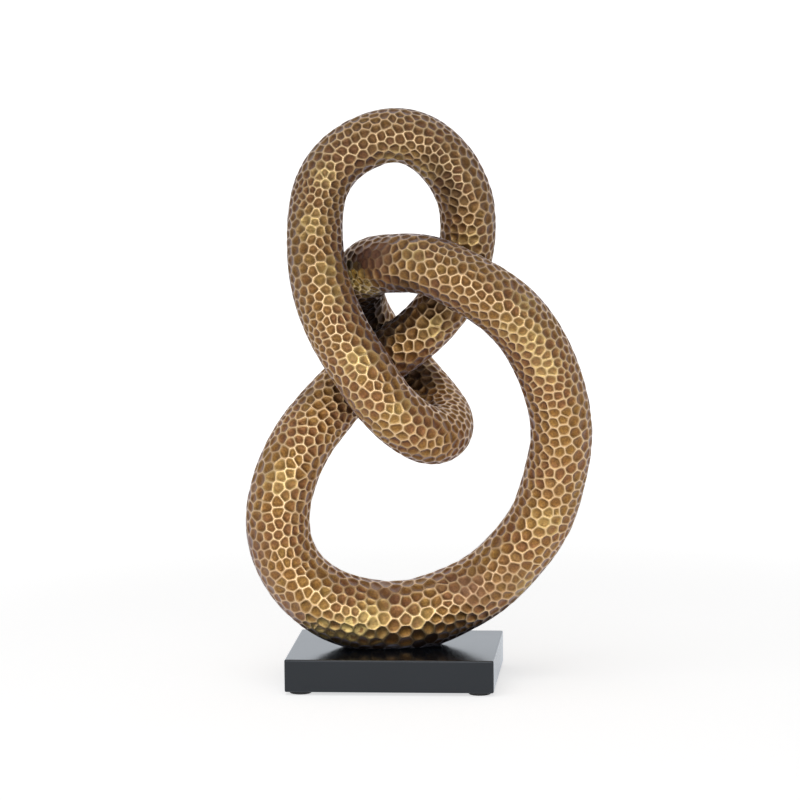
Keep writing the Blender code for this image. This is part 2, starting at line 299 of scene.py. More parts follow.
# The knot's centre line, once round from the seat: squares to the right of the block's
# centre, squares above the lowest point, strand widths towards the back, and girth
# from 0 (upper loop) to 1 (seat).
ROUTE = [
    (-0.5, 0.0, -0.05, 1.00),
    (-3.6, 0.8, -0.24, 0.90),
    (-6.0, 2.8, -0.33, 0.58),
    (-7.0, 5.3, -0.33, 0.54),
    (-6.8, 8.0, -0.26, 0.52),
    (-5.7, 10.7, -0.09, 0.45),
    (-4.3, 12.6, 0.14, 0.38),
    (-2.6, 14.4, 0.31, 0.22),
    (-0.8, 15.8, 0.33, 0.10),
    (1.2, 17.2, 0.27, 0.04),
    (2.8, 18.8, 0.28, 0.04),
    (3.9, 20.6, 0.31, 0.08),
    (4.5, 22.7, 0.27, 0.10),
    (4.6, 24.9, 0.18, 0.11),
    (4.1, 26.7, 0.11, 0.12),
    (2.7, 28.6, 0.05, 0.12),
    (0.4, 29.6, 0.00, 0.04),
    (-2.4, 28.7, -0.10, 0.04),
    (-4.0, 26.9, -0.22, 0.03),
    (-4.5, 24.6, -0.36, 0.08),
    (-4.4, 22.0, -0.50, 0.20),
    (-3.9, 19.9, -0.59, 0.32),
    (-3.0, 17.8, -0.65, 0.37),
    (-1.8, 15.8, -0.66, 0.36),
    (-0.5, 13.8, -0.63, 0.30),
    (0.9, 12.3, -0.51, 0.26),
    (2.2, 11.4, -0.24, 0.23),
    (3.0, 11.4, 0.18, 0.19),
    (2.9, 12.1, 0.66, 0.16),
    (1.7, 13.4, 1.07, 0.15),
    (0.3, 14.9, 1.26, 0.15),
    (-1.0, 16.3, 1.28, 0.14),
    (-2.0, 17.9, 1.16, 0.14),
    (-2.4, 19.9, 0.70, 0.18),
    (-1.4, 21.5, 0.15, 0.22),
    (0.1, 21.9, -0.27, 0.25),
    (2.3, 21.9, -0.58, 0.28),
    (4.5, 21.0, -0.69, 0.34),
    (6.7, 19.6, -0.64, 0.44),
    (8.4, 17.7, -0.50, 0.45),
    (9.7, 14.9, -0.32, 0.44),
    (10.3, 11.6, -0.11, 0.42),
    (9.9, 8.9, 0.05, 0.48),
    (9.0, 6.1, 0.16, 0.52),
    (7.5, 3.9, 0.22, 0.55),
    (5.7, 2.1, 0.24, 0.66),
    (3.8, 1.0, 0.18, 0.80),
    (1.7, 0.2, 0.07, 0.94),
]


def girth_radius(girth):
    """The tube's radius for a girth between 0 and 1."""
    return LOOP_RADIUS + girth * (SEAT_RADIUS - LOOP_RADIUS)


def route_points():
    """The route in the frame's metres, with the tube's radius."""
    strand_width = 2 * girth_radius(CROSSING_GIRTH) + STRAND_GAP
    lowest = seat_level + SEAT_RADIUS - SEAT_CUT
    rows = []
    for across, up, depth, girth in ROUTE:
        x = block_middle.x + across * GRID_SQUARE
        y = block_middle.y + depth * strand_width
        rows.append((x, y, lowest + up * GRID_SQUARE, girth_radius(girth)))
    return np.array(rows)


def closed_spline(points, samples):
    """Dense samples of the smooth closed curve through the points."""
    after = np.roll(points, -1, axis=0)
    step = np.sqrt(np.linalg.norm((after - points)[:, :3], axis=1))
    before = np.roll(step, 1)
    slope = (after - points) / step[:, None] ** 2
    count = len(points)
    matrix = np.zeros((count, count))
    for i in range(count):
        matrix[i, i - 1] = 1 / before[i]
        matrix[i, i] = 2 / before[i] + 2 / step[i]
        matrix[i, (i + 1) % count] = 1 / step[i]
    tangents = np.linalg.solve(matrix, 3 * (slope + np.roll(slope, 1, axis=0)))
    t = np.linspace(0, 1, samples, endpoint=False)[:, None]
    spans = []
    for i in range(count):
        start, end = points[i], after[i]
        out, into = tangents[i] * step[i], tangents[(i + 1) % count] * step[i]
        spans.append(
            (1 + 2 * t) * (1 - t) ** 2 * start
            + t * (1 - t) ** 2 * out
            + t ** 2 * (3 - 2 * t) * end
            + t ** 2 * (t - 1) * into
        )
    return np.concatenate(spans)


class Tube:
    """The tube's surface, addressed by distance along the curve and angle round it."""

    def __init__(self, dense, count):
        closed = np.vstack([dense, dense[:1]])
        lengths = np.linalg.norm(np.diff(closed[:, :3], axis=0), axis=1)
        travelled = np.concatenate([[0], np.cumsum(lengths)])
        self.length = travelled[-1]
        self.count = count
        places = np.linspace(0, self.length, count, endpoint=False)
        columns = [np.interp(places, travelled, closed[:, k]) for k in range(4)]
        rings = np.stack(columns, axis=1)
        self.centre, self.radius = rings[:, :3], rings[:, 3]
        self.across, self.along = self.frames()

    def frames(self):
        """Two directions across the curve at each ring, carried along without twisting."""
        tangents = np.roll(self.centre, -1, axis=0) - np.roll(self.centre, 1, axis=0)
        tangents /= np.linalg.norm(tangents, axis=1)[:, None]
        normal = np.array([0.0, -1.0, 0.0])
        normals = []
        for tangent in np.vstack([tangents, tangents[:1]]):
            normal = normal - tangent * (normal @ tangent)
            normal /= np.linalg.norm(normal)
            normals.append(normal)
        last, first = normals.pop(), normals[0]
        sideways = np.cross(tangents[0], first)
        twist = np.arctan2(last @ sideways, last @ first)
        turns = -twist * np.arange(self.count) / self.count
        normals = np.array(normals)
        binormals = np.cross(tangents, normals)
        c, s = np.cos(turns)[:, None], np.sin(turns)[:, None]
        return c * normals + s * binormals, c * binormals - s * normals

    def between(self, values, place):
        """The values of a per-ring table at distances along the curve."""
        position = place / self.length * self.count
        ring = np.floor(position).astype(int)
        part = position - ring
        if values.ndim > 1:
            part = part[..., None]
        ring %= self.count
        return values[ring] * (1 - part) + values[(ring + 1) % self.count] * part

    def outward(self, angle, place):
        """The direction out of the tube."""
        across = self.between(self.across, place)
        along = self.between(self.along, place)
        return np.cos(angle)[..., None] * across + np.sin(angle)[..., None] * along

    def points(self, angle, place, depth):
        """Points below the surface by the depth."""
        radius = self.between(self.radius, place) - depth
        return self.between(self.centre, place) + radius[..., None] * self.outward(angle, place)

    def stretch(self, angle, place):
        """How far a point moves for a unit of angle and for a unit of distance."""
        step = 0.5 * MM
        ahead = self.points(angle, place + step, 0)
        behind = self.points(angle, place - step, 0)
        forward = np.linalg.norm(ahead - behind, axis=-1) / (2 * step)
        return self.between(self.radius, place), forward


def hidden_share(tube, angle, place):
    """From 0 in the open to 1 where another strand lies against the tube, which sets how much
    shade is painted there.
    """
    spots = tube.points(angle, place, 0)
    along = np.arange(tube.count) / tube.count * tube.length
    distance = np.linalg.norm(spots[:, None] - tube.centre[None], axis=2) - tube.radius
    own = np.abs(wrapped(along[None] - place[:, None], tube.length)) < OWN_STRAND_REACH
    gap = np.where(own, CREVICE_REACH, distance).min(axis=1)
    return np.clip(1 - gap / CREVICE_REACH, 0, 1)


def spot_share(tube, angle, place, spots):
    """From 0 away from the spots to their strength in their middles."""
    points = tube.points(angle, place, 0)
    share = np.zeros(len(points))
    for right, behind, above, reach, strength in spots:
        spot = (block_middle.x + right * MM, block_middle.y + behind * MM,
                seat_level + above * MM)
        inward = 1 - np.linalg.norm(points - spot, axis=1) / (reach * MM)
        near = np.clip(SPOT_STEEPNESS * inward, 0, 1)
        share = np.maximum(share, strength * near * near * (3 - 2 * near))
    return share


def uneven(unevenness, shape):
    """Random factors, up to the unevenness either side of 1."""
    return rng.uniform(1 - unevenness, 1 + unevenness, shape)


def wrapped(value, period):
    """The value less whole periods, between minus and plus half a period."""
    return value - period * np.round(value / period)


def cell_centres(tube):
    """Angle and place of each hammered cell's centre: evenly spread, but not regular."""
    rows = int(tube.length / SAMPLE_SPACING)
    columns = int(2 * pi * SEAT_RADIUS / SAMPLE_SPACING)
    place, angle = np.meshgrid(
        np.arange(rows) * tube.length / rows,
        np.arange(columns) * 2 * pi / columns,
        indexing="ij",
    )
    points = tube.points(angle, place, 0)
    ahead = np.roll(points, -1, axis=0) - np.roll(points, 1, axis=0)
    beside = np.roll(points, -1, axis=1) - np.roll(points, 1, axis=1)
    area = np.linalg.norm(np.cross(ahead, beside), axis=2) / 4
    total = int(area.sum() / (CELL_PITCH ** 2 * sin(radians(60))))
    area *= np.interp(tube.between(tube.radius, place), (LOOP_RADIUS, SEAT_RADIUS),
                      (CELLS_AT_LOOP ** 2, CELLS_AT_SEAT ** 2))
    small = int(total * SMALL_CELL_SHARE)
    flat_place, flat_angle = place.ravel(), angle.ravel()
    flat_points, flat_area = points.reshape(-1, 3), area.ravel()
    chosen = rng.choice(flat_area.size, total - small, replace=False,
                        p=flat_area / flat_area.sum())
    seed_angle, seed_place = flat_angle[chosen], flat_place[chosen]

    for _ in range(SETTLING_ROUNDS):
        nearest, _gap = nearest_cell(tube, rows, columns, flat_points, seed_angle, seed_place)
        turn = wrapped(flat_angle - seed_angle[nearest], 2 * pi)
        shift = wrapped(flat_place - seed_place[nearest], tube.length)
        weight = np.bincount(nearest, flat_area, len(seed_angle)) + TINY
        seed_angle = seed_angle + np.bincount(nearest, flat_area * turn, len(weight)) / weight
        seed_place = seed_place + np.bincount(nearest, flat_area * shift, len(weight)) / weight

    _nearest, gap = nearest_cell(tube, rows, columns, flat_points, seed_angle, seed_place)
    extra = small_cells(flat_points, gap, small)
    seed_angle = np.concatenate([seed_angle, flat_angle[extra]])
    seed_place = np.concatenate([seed_place, flat_place[extra]])
    return seed_angle % (2 * pi), seed_place % tube.length


def small_cells(points, gap, count):
    """Samples in the widest gaps, far enough apart, for the small cells."""
    widest = np.argsort(gap)[-len(gap) // GAP_PARTS:]
    extra = []
    for candidate in rng.permutation(widest):
        away = (np.linalg.norm(points[candidate] - points[other]) for other in extra)
        if all(distance > SMALL_CELL_SPACING for distance in away):
            extra.append(candidate)
        if len(extra) == count:
            break
    return extra


def nearest_cell(tube, rows, columns, points, seed_angle, seed_place):
    """For each sample, the nearest cell centre along the same strand, and its distance."""
    seeds = tube.points(seed_angle, seed_place, 0)
    row_length = tube.length / rows
    nearest = np.empty(rows * columns, int)
    gap = np.empty(rows * columns)
    for first in range(0, rows, SLAB_ROWS):
        last = min(first + SLAB_ROWS, rows)
        middle = (first + last) / 2 * row_length
        reach = SLAB_ROWS / 2 * row_length + NEIGHBOUR_REACH
        near = np.flatnonzero(np.abs(wrapped(seed_place - middle, tube.length)) < reach)
        slab = slice(first * columns, last * columns)
        distance = np.linalg.norm(points[slab][:, None] - seeds[near][None], axis=2)
        nearest[slab] = near[distance.argmin(axis=1)]
        gap[slab] = distance.min(axis=1)
    return nearest, gap


def triangulated(tube, angle, place):
    """Neighbour triangles of the cell centres: a map from directed edge to third corner."""
    width = 2 * pi * SEAT_RADIUS
    flat = np.stack([angle * SEAT_RADIUS, place], axis=1) / MM
    spans = np.array([width, tube.length]) / MM
    corners, owners = [], []
    for turn in (-1, 0, 1):
        for lap in (-1, 0, 1):
            moved = flat + spans * (turn, lap)
            inside = np.all((moved > -WRAP_MARGIN) & (moved < spans + WRAP_MARGIN), axis=1)
            corners.append(moved[inside])
            owners.append(np.flatnonzero(inside))
    corners, owners = np.concatenate(corners), np.concatenate(owners)
    made = delaunay_2d_cdt([Vector(c) for c in corners.tolist()], [], [], 0, MERGE_DISTANCE)
    spots, faces, sources = made[0], made[2], made[3]
    third, seen = {}, set()
    for face in faces:
        middle = sum((spots[k] for k in face), Vector((0, 0))) / 3
        if not all(-SEAM_TOLERANCE <= middle[k] <= spans[k] + SEAM_TOLERANCE for k in range(2)):
            continue
        a, b, c = (int(owners[sources[k][0]]) for k in face)
        key = tuple(sorted((a, b, c)))
        if key in seen:
            continue
        seen.add(key)
        third[a, b], third[b, c], third[c, a] = c, a, b
    relax_edges(tube.points(angle, place, 0), third)
    return third


def relax_edges(spots, third):
    """Flips edges until each pair of triangles is the better of its two ways to be split."""
    def corner_cosine(tip, one, two):
        first, second = spots[one] - spots[tip], spots[two] - spots[tip]
        return first @ second / np.sqrt((first @ first) * (second @ second))

    waiting = [edge for edge in third if edge[0] < edge[1]]
    flips = 0
    while waiting and flips < FLIPS_PER_CELL * len(spots):
        a, b = waiting.pop()
        if (a, b) not in third or (b, a) not in third:
            continue
        c, d = third[a, b], third[b, a]
        if c == d or (c, d) in third or (d, c) in third:
            continue
        opposite = np.arccos(corner_cosine(c, a, b)) + np.arccos(corner_cosine(d, a, b))
        if opposite <= pi + ANGLE_TOLERANCE:
            continue
        del third[a, b], third[b, a]
        third[a, d], third[d, c], third[c, a] = c, a, d
        third[d, b], third[b, c], third[c, d] = c, d, b
        waiting += [tuple(sorted(edge)) for edge in ((a, d), (c, a), (d, b), (b, c))]
        flips += 1


def ridge_corners(tube, angle, place, third):
    """Where three cells meet: angle and place of each corner, and each triangle's number."""
    number, rows = {}, []
    for (a, b), c in third.items():
        if a < b and a < c:
            number[a, b, c] = len(rows)
            rows.append((a, b, c))
    rows = np.array(rows)
    spots = tube.points(angle, place, 0)[rows]
    opposite = np.stack([
        ((spots[:, 1] - spots[:, 2]) ** 2).sum(1),
        ((spots[:, 2] - spots[:, 0]) ** 2).sum(1),
        ((spots[:, 0] - spots[:, 1]) ** 2).sum(1),
    ], axis=1)
    weight = opposite * (opposite.sum(1)[:, None] - 2 * opposite)
    weight /= weight.sum(1)[:, None]
    weight = np.clip(EVEN_POINT_SHARE * weight + CENTROID_WEIGHT, LEAST_WEIGHT, None)
    weight /= weight.sum(1)[:, None]
    turn = wrapped(angle[rows] - angle[rows[:, :1]], 2 * pi)
    shift = wrapped(place[rows] - place[rows[:, :1]], tube.length)
    corner_angle = angle[rows[:, 0]] + (weight * turn).sum(1)
    corner_place = place[rows[:, 0]] + (weight * shift).sum(1)
    return number, corner_angle, corner_place


def rounds_of(third, number, count):
    """For each number of sides: which cells have it, and their corners in order."""
    start = {}
    for a, b in third:
        start.setdefault(a, b)
    grouped = {}
    for cell in range(count):
        beside, corners = start[cell], []
        while True:
            ahead = third[cell, beside]
            ring = (cell, beside, ahead)
            turn = ring.index(min(ring))
            corners.append(number[ring[turn:] + ring[:turn]])
            beside = ahead
            if beside == start[cell]:
                break
        grouped.setdefault(len(corners), []).append((cell, corners))
    return grouped


def inner_outline(shape, directions, away, sharpness):
    """Distances from the middle to an outline inside a convex shape, with round corners."""
    following = np.roll(shape, -1, axis=1)
    edge = following - shape
    outward = np.stack([edge[..., 1], -edge[..., 0]], axis=-1)
    outward /= np.linalg.norm(outward, axis=-1)[..., None] + TINY
    reach = (outward * shape).sum(-1)
    reach = np.maximum(reach - away, LEAST_REACH * reach)
    facing = np.einsum("nij,nkj->nik", directions, outward)
    limits = reach[:, None] / np.maximum(facing, LEAST_FACING)
    nearest = limits.min(axis=2, keepdims=True)
    return nearest[..., 0] * ((limits / nearest) ** -sharpness).sum(2) ** (-1 / sharpness)


def cell_rings(shape, depth, tilt):
    """The rings in cells with equally many sides: directions, distances, drops and levels."""
    count, sides = shape.shape[:2]
    halfway = (shape + np.roll(shape, -1, axis=1)) / 2
    toward = np.stack([shape, halfway], axis=2).reshape(count, 2 * sides, 2)
    toward = toward / (np.linalg.norm(toward, axis=-1)[..., None] + TINY)
    ridge = RIDGE_HALF_WIDTH * uneven(RIDGE_UNEVENNESS, (count, sides))
    rim = inner_outline(shape, toward, ridge, RIM_SHARPNESS)
    floor = inner_outline(shape, toward, ridge + WALL_WIDTH, FLOOR_SHARPNESS)
    slope = (toward * tilt).sum(-1) * floor
    floor_drop = depth - FLOOR_DISH * depth / CELL_DEPTH + slope
    return toward, (
        (rim, CREST_DROP + RIM_DROP, RIM_LEVEL),
        (floor, floor_drop, FLOOR_LEVEL),
        (np.zeros((count, 1)), depth, MIDDLE_LEVEL),
    )


def cell_faces(crest, rim, floor, middle):
    """One cell's faces, from its crest's corners over the rim and the wall to its middle."""
    sides = len(crest)
    faces = []
    for j in range(sides):
        k = (j + 1) % sides
        faces.append((crest[j], crest[k], rim + 2 * j + 1))
        faces.append((crest[j], rim + 2 * j + 1, rim + 2 * j))
        faces.append((crest[k], rim + 2 * k, rim + 2 * j + 1))
    for j in range(2 * sides):
        k = (j + 1) % (2 * sides)
        faces.append((rim + j, rim + k, floor + k, floor + j))
        faces.append((floor + j, floor + k, middle))
    return faces


def build_skin(tube):
    """The hammered skin: its points, what its material reads at them, and its faces."""
    angle, place = cell_centres(tube)
    third = triangulated(tube, angle, place)
    number, corner_angle, corner_place = ridge_corners(tube, angle, place, third)
    corner_drop = CREST_DROP + CREST_ROUGHNESS * rng.random(len(corner_angle))
    # Per cell: painted shade between strands and in listed spots, worn spots, and gold spots that
    # are partly painted highlight
    of_cell = {
        "strand_shade": (hidden_share(tube, angle, place)
                    * (1 - spot_share(tube, angle, place, UNSHADED_SPOTS))),
        "stain_and_shade": spot_share(tube, angle, place, PAINTED_SHADE_SPOTS),
        "worn": spot_share(tube, angle, place, WORN_SPOTS),
        "gilt_and_highlight": spot_share(tube, angle, place, GILT_AND_HIGHLIGHT_SPOTS),
    }
    meeting = np.array(list(number))
    columns = {name: [values[meeting].mean(axis=1)] for name, values in of_cell.items()}
    columns["tone"] = [np.full(len(corner_angle), CREST_TONE)]
    columns["relief"] = [np.full(len(corner_angle), CREST_LEVEL)]
    columns["chart"] = [np.stack([corner_angle, corner_place], axis=1)]
    columns["points"] = [tube.points(corner_angle, corner_place, corner_drop)]

    of_cell["tone"] = rng.random(len(angle))
    cell_depth = CELL_DEPTH * uneven(DEPTH_UNEVENNESS, len(angle))
    cell_tilt = rng.normal(0, FLOOR_TILT, (len(angle), 1, 2))
    cell_depth *= 1 - (1 - WORN_DEPTH_SHARE) * of_cell["worn"]
    centres = np.stack([angle, place], axis=1)
    per_unit = np.stack(tube.stretch(angle, place), axis=1)
    faces, cell_of_face = [], []
    made = len(corner_angle)
    for sides, members in sorted(rounds_of(third, number, len(angle)).items()):
        cells = np.array([cell for cell, _ in members])
        corners = np.array([corner for _, corner in members])
        scale, home = per_unit[cells][:, None], centres[cells][:, None]
        shape = np.stack([
            wrapped(corner_angle[corners] - home[..., 0], 2 * pi),
            wrapped(corner_place[corners] - home[..., 1], tube.length),
        ], axis=2) * scale
        middle = shape.mean(axis=1, keepdims=True)
        toward, rings = cell_rings(shape - middle, cell_depth[cells][:, None], cell_tilt[cells])
        for distance, drop, level in rings:
            width = distance.shape[1]
            local = (toward[:, :width] * distance[..., None] + middle) / scale + home
            drops = np.broadcast_to(drop, distance.shape)
            spots = tube.points(local[..., 0], local[..., 1], drops)
            columns["points"].append(spots.reshape(-1, 3))
            columns["chart"].append(local.reshape(-1, 2))
            columns["relief"].append(np.full(distance.size, level))
            for name, values in of_cell.items():
                columns[name].append(np.repeat(values[cells], width))
        ring_size = 2 * sides * len(cells)
        for row, crest in enumerate(corners.tolist()):
            rim = made + 2 * sides * row
            fresh = cell_faces(crest, rim, rim + ring_size, made + 2 * ring_size + row)
            faces += fresh
            cell_of_face += [int(cells[row])] * len(fresh)
        made += 2 * ring_size + len(cells)

    skin = {name: np.concatenate(parts) for name, parts in columns.items()}
    skin["upward"] = tube.outward(skin["chart"][:, 0], skin["chart"][:, 1])[:, 2]
    skin["faces"], skin["cell_of_face"] = faces, np.array(cell_of_face)
    skin["centres"] = centres
    return skin


def skin_object(tube, material):
    """The skin as an object: its mesh, the attributes its material reads, and its UV map."""
    data = build_skin(tube)
    points = data["points"]
    points[:, 2] = np.maximum(points[:, 2], seat_level)
    mesh = bpy.data.meshes.new("hammered_skin")
    mesh.from_pydata(points.tolist(), [], data["faces"])
    for name in SKIN_ATTRIBUTES:
        layer = mesh.attributes.new(name, "FLOAT", "POINT")
        layer.data.foreach_set("value", data[name].astype(np.float32))
    map_skin(mesh, tube, data)
    mesh.shade_smooth()
    mesh.materials.append(material)
    skin = bpy.data.objects.new("hammered_skin", mesh)
    bpy.context.scene.collection.objects.link(skin)
    return skin


def map_skin(mesh, tube, data):
    """A UV map of even scale: the tube rolled out flat, in strips side by side."""
    corner = np.empty(len(mesh.loops), np.int32)
    mesh.loops.foreach_get("vertex_index", corner)
    sizes = np.empty(len(mesh.polygons), np.int32)
    mesh.polygons.foreach_get("loop_total", sizes)
    home = data["centres"][np.repeat(data["cell_of_face"], sizes)]
    chart = data["chart"][corner]
    angle = home[:, 0] + wrapped(chart[:, 0] - home[:, 0], 2 * pi)
    place = home[:, 1] + wrapped(chart[:, 1] - home[:, 1], tube.length)
    strip_length = tube.length / STRIP_COUNT
    strip = np.minimum(home[:, 1] // strip_length, STRIP_COUNT - 1)
    mean_radius = tube.radius.mean()
    strip_width = 2 * pi * mean_radius + 2 * STRIP_MARGIN
    side = max(strip_length + 2 * STRIP_MARGIN, STRIP_COUNT * strip_width)
    u = (place - strip * strip_length + STRIP_MARGIN) / side
    v = (angle * mean_radius + STRIP_MARGIN + strip * strip_width) / side
    layer = mesh.uv_layers.new(name="OFBake")
    layer.data.foreach_set("uv", np.stack([u, v], axis=1).astype(np.float32).ravel())


class Nodes:
    """A node tree, with short calls to add nodes and join them."""

    def __init__(self, tree):
        self.tree = tree

    def add(self, kind, **settings):
        node = self.tree.nodes.new(kind)
        for key, value in settings.items():
            setattr(node, key, value)
        return node

    def join(self, value, socket):
        """Links a socket, or sets a constant, which for a colour comes without alpha."""
        if isinstance(value, bpy.types.NodeSocket):
            self.tree.links.new(value, socket)
        elif socket.type == "RGBA":
            socket.default_value = (*value, 1.0)
        else:
            socket.default_value = value

    def fill(self, node, inputs):
        """Links or sets a node's inputs by their names."""
        for name, value in inputs.items():
            self.join(value, node.inputs[name])
        return node

    def between(self, value, low, high, start=0.0, end=1.0):
        """The value's range from low to high, brought smoothly to start and end."""
        node = self.add("ShaderNodeMapRange", interpolation_type="SMOOTHSTEP")
        self.fill(node, {"Value": value, "From Min": low, "From Max": high,
                         "To Min": start, "To Max": end})
        return node.outputs["Result"]

    def maths(self, operation, *values):
        node = self.add("ShaderNodeMath", operation=operation)
        for value, socket in zip(values, node.inputs):
            self.join(value, socket)
        return node.outputs["Value"]

    def product(self, first, second):
        return self.maths("MULTIPLY", first, second)

    def greatest(self, first, *others):
        for other in others:
            first = self.maths("MAXIMUM", first, other)
        return first

    def mix(self, factor, first, second):
        """One colour turning into another."""
        node = self.add("ShaderNodeMix", data_type="RGBA")
        for value, place in zip((factor, first, second), MIX_INPUTS):
            self.join(value, node.inputs[place])
        return node.outputs[MIX_OUTPUT]


class Finish(Nodes):
    """A material's nodes, with its shader and the place on the object."""

    def __init__(self, name):
        self.material = bpy.data.materials.new(name)
        self.material.use_nodes = True
        super().__init__(self.material.node_tree)
        self.shader = self.tree.nodes["Principled BSDF"]
        self.place = self.add("ShaderNodeTexCoord").outputs["Object"]

    def coordinate(self, axis):
        parts = self.fill(self.add("ShaderNodeSeparateXYZ"), {"Vector": self.place})
        return parts.outputs[axis]

    def attribute(self, name):
        return self.add("ShaderNodeAttribute", attribute_name=name).outputs["Fac"]

    def noise(self, size, detail, roughness=0.5, stretch=None):
        """Soft noise whose blobs are about the size across."""
        where = self.place
        if stretch:
            mapping = self.add("ShaderNodeMapping")
            self.fill(mapping, {"Vector": where, "Scale": stretch})
            where = mapping.outputs["Vector"]
        node = self.add("ShaderNodeTexNoise")
        self.fill(node, {"Vector": where, "Scale": 1 / size,
                         "Detail": detail, "Roughness": roughness})
        return node.outputs["Fac"]

    def bump(self, height, distance, strength):
        node = self.add("ShaderNodeBump")
        self.fill(node, {"Height": height, "Distance": distance, "Strength": strength})
        return node.outputs["Normal"]

    def shade(self, inputs):
        """The material, once its shader has these inputs."""
        self.fill(self.shader, inputs)
        return self.material


def hammered_paint(nodes, relief, grain):
    """The paint before painted shade, wear and gold spots: brown cells, darker up their walls as
    patina and partly as painted shade, and gold on the ridges.
    """
    tone = nodes.attribute("tone")
    broad = nodes.noise(24 * MM, 2.0)
    patches = nodes.noise(16 * MM, 3.0)
    floor = nodes.mix(nodes.between(tone, 0.0, 1.0, 0.2, 0.7), FLOOR_BROWN, FLOOR_TAN)
    floor = nodes.mix(nodes.between(broad, 0.42, 0.60, 0.0, 0.75), floor, FLOOR_RED)
    floor = nodes.mix(nodes.between(tone, 0.90, 0.95, 0.0, 0.25), floor, FLOOR_GILT)
    floor = nodes.mix(nodes.between(grain, 0.35, 0.65, 0.0, 0.4), floor, WALL_DARK)
    # Darker walls: patina in the hollows, partly painted shade
    wall = nodes.mix(nodes.between(relief, -0.3, 0.2, 0.0, 0.3), floor, WALL_DARK)
    gold = nodes.mix(nodes.between(patches, 0.35, 0.7), RIDGE_GOLD, RIDGE_DULL)
    gold = nodes.mix(nodes.between(relief, 0.78, 1.0), RIDGE_SIDE, gold)
    return nodes.mix(nodes.between(relief, -0.12, 0.9), wall, gold)


def gilt_and_highlight_share(nodes, relief, mottle):
    """How far gold covers the cells, partly as painted highlight: thinly on the floors, or all of
    a cell that it fills.
    """
    gilt_and_highlight = nodes.attribute("gilt_and_highlight")
    thin = nodes.product(gilt_and_highlight, nodes.between(mottle, 0.42, 0.58, 1.0, 0.5))
    thin = nodes.product(thin, nodes.between(relief, -0.4, 0.5, 0.45, 1.0))
    filled = nodes.product(nodes.between(gilt_and_highlight, 0.55, 0.85),
                           nodes.between(mottle, 0.50, 0.60, 1.0, 0.2))
    return nodes.greatest(thin, filled)


def gilded_resin():
    """Brown patina in the cells and rubbed gold on the ridges, under a thin clear coat, with
    painted shade between strands, on low undersides, higher up and in listed spots, and painted
    highlight in some of the gold.
    """
    nodes = Finish("gilded_resin")
    relief, stain_and_shade = nodes.attribute("relief"), nodes.attribute("stain_and_shade")
    upward, strand_shade = nodes.attribute("upward"), nodes.attribute("strand_shade")
    height = nodes.coordinate("Z")
    mottle = nodes.noise(4 * MM, 3.0, 0.6)
    grain = nodes.noise(1.2 * MM, 3.0, 0.6)

    # Painted shade between strands, on low undersides and higher up the knot, most on the floors
    # of the cells
    crevice_shade = nodes.product(nodes.between(strand_shade, 0.0, 1.0),
                            nodes.between(relief, 0.5, 0.95, 0.95, 0.72))
    underside_shade = nodes.product(nodes.between(upward, -0.53, -0.86),
                              nodes.between(height, *UNDERSIDE_HEIGHTS, 0.94, 0.0))
    aloft_shade = nodes.product(nodes.between(height, *ALOFT_HEIGHTS, 0.0, 0.46),
                          nodes.between(relief, 0.5, 0.95, 1.0, 0.68))

    paint = hammered_paint(nodes, relief, grain)
    # Painted shade: near-black brown where the three masks above are strongest
    paint = nodes.mix(nodes.greatest(crevice_shade, underside_shade, aloft_shade), paint, PAINTED_SHADE)
    # Painted shade in the listed dark spots
    paint = nodes.mix(nodes.product(stain_and_shade, 0.95), paint, PAINTED_SHADE)
    worn_paint = nodes.mix(nodes.between(mottle, 0.4, 0.62), WORN_RED, WORN_DARK)
    paint = nodes.mix(nodes.product(nodes.attribute("worn"), 0.85), paint, worn_paint)
    # Gold in the listed spots, partly real gilt and partly painted highlight
    paint = nodes.mix(gilt_and_highlight_share(nodes, relief, mottle), paint, GILT_AND_HIGHLIGHT_GOLD)

    # Less coat and sheen where shade is painted
    dull = nodes.greatest(crevice_shade, underside_shade, stain_and_shade)
    base_roughness = nodes.between(relief, -0.2, 0.8, 0.45, 0.28)
    return nodes.shade({
        "Base Color": paint,
        "Metallic": 0.85,
        "Specular Tint": RESIN_GLOSS,
        "Roughness": nodes.maths("MULTIPLY_ADD", grain, 0.14, base_roughness),
        "Coat Weight": nodes.between(dull, 0.0, 1.0, 1.0, 0.2),
        "Coat IOR": 1.26,
        "Coat Roughness": 0.3,
        "Sheen Weight": nodes.between(dull, 0.0, 1.0, 0.7, 0.1),
        "Sheen Roughness": 0.40,
        "Sheen Tint": RESIN_VEIL,
        "Normal": nodes.bump(grain, 0.12 * MM, 0.7),
    })


def black_lacquer():
    """Near-black lacquer, cloudy in its shine, with a faint orange-peel surface."""
    nodes = Finish("black_lacquer")
    cloud = nodes.noise(35 * MM, 2.0)
    peel = nodes.noise(2.2 * MM, 2.0)
    return nodes.shade({
        "Base Color": nodes.mix(cloud, *LACQUER),
        "Roughness": nodes.between(cloud, 0.3, 0.7, 0.14, 0.19),
        "Specular Tint": LACQUER_GLOSS,
        "Specular IOR Level": 0.23,
        "Coat Weight": 0.5,
        "Coat Roughness": 0.16,
        "Coat Tint": LACQUER_COAT,
        "Normal": nodes.bump(peel, 0.02 * MM, 0.5),
    })


def foot_rubber():
    """Dull black rubber with a moulded grain."""
    nodes = Finish("foot_rubber")
    grain = nodes.noise(0.8 * MM, 3.0)
    return nodes.shade({
        "Base Color": nodes.mix(grain, *RUBBER),
        "Roughness": nodes.between(grain, 0.3, 0.7, 0.6, 0.8),
        "Normal": nodes.bump(grain, 0.05 * MM, 0.5),
    })


